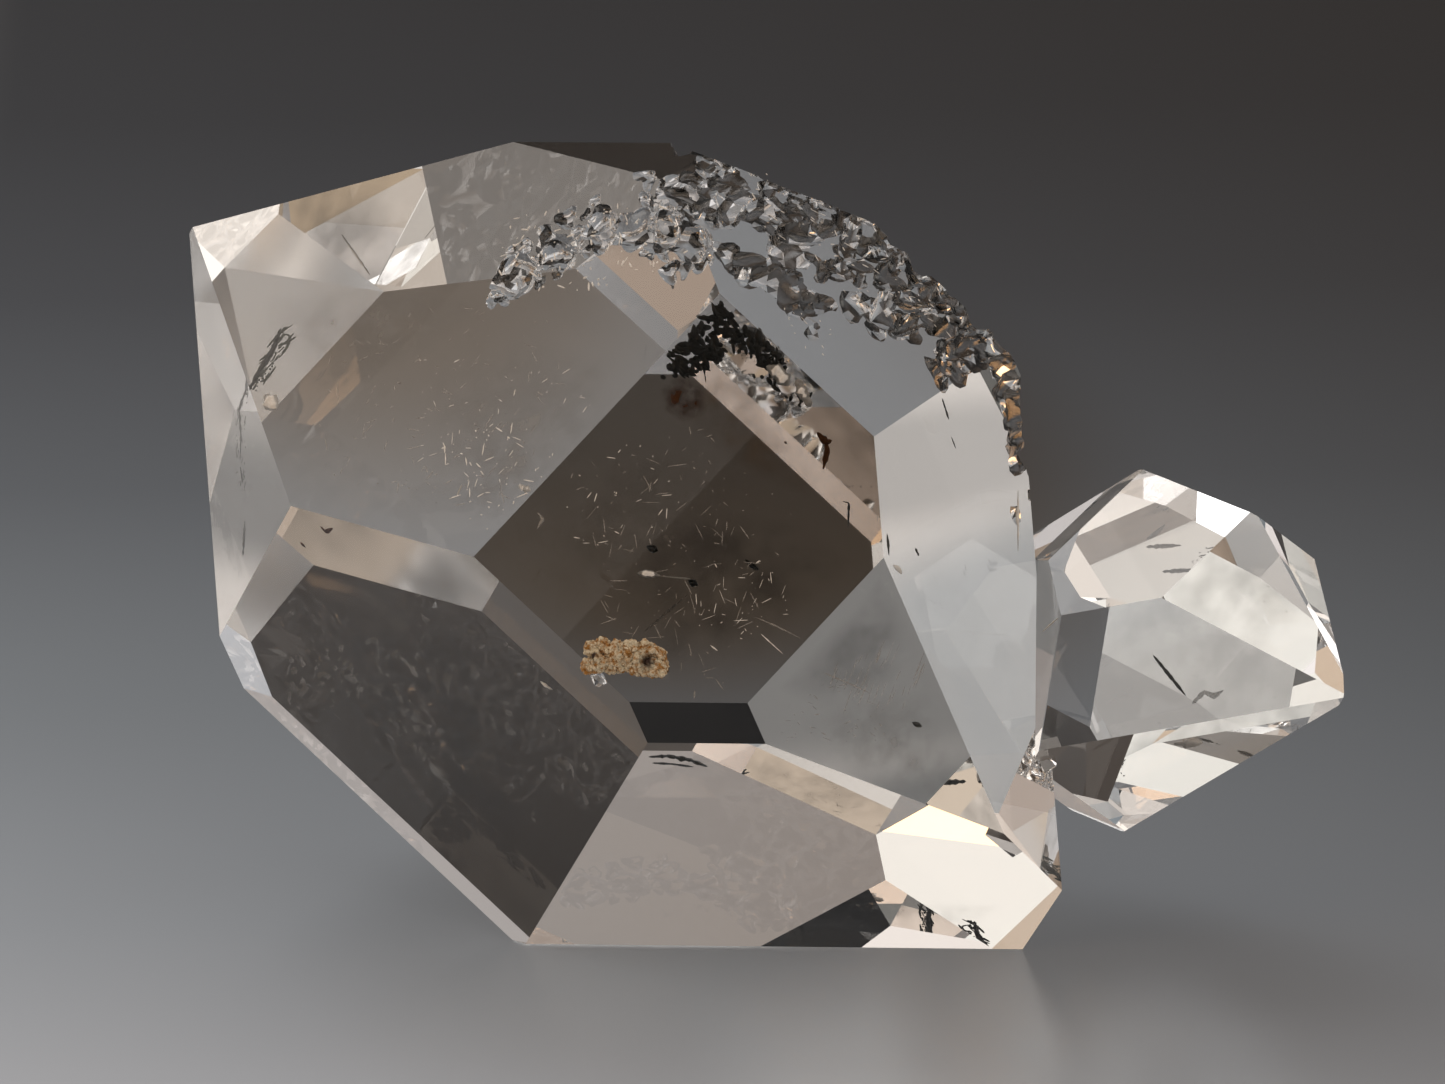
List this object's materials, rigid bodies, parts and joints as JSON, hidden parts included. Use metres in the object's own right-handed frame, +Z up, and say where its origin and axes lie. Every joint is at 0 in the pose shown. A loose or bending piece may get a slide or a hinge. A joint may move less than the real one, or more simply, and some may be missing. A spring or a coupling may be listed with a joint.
{
  "type": "quartz crystal specimen",
  "caption": "Clear, doubly terminated quartz crystal with a smaller crystal grown through its side, a rough contact zone and a crumb of matrix.",
  "frame": {"origin": "middle of the bounding box at its lowest level, on the surface that the specimen lies on", "axes": "+Z up, +X along the specimen's long side towards the small crystal, +Y away from the front prism face"},
  "size_m": [0.023, 0.0166, 0.0161],
  "materials": {
    "quartz": "natural clear crystal faces, rough where the specimen grew against its pocket",
    "matrix": "dull, sandy"
  },
  "bodies": {
    "root": {"quartz_crystals": "quartz", "matrix_crumb": "matrix"}
  },
  "joints": []
}
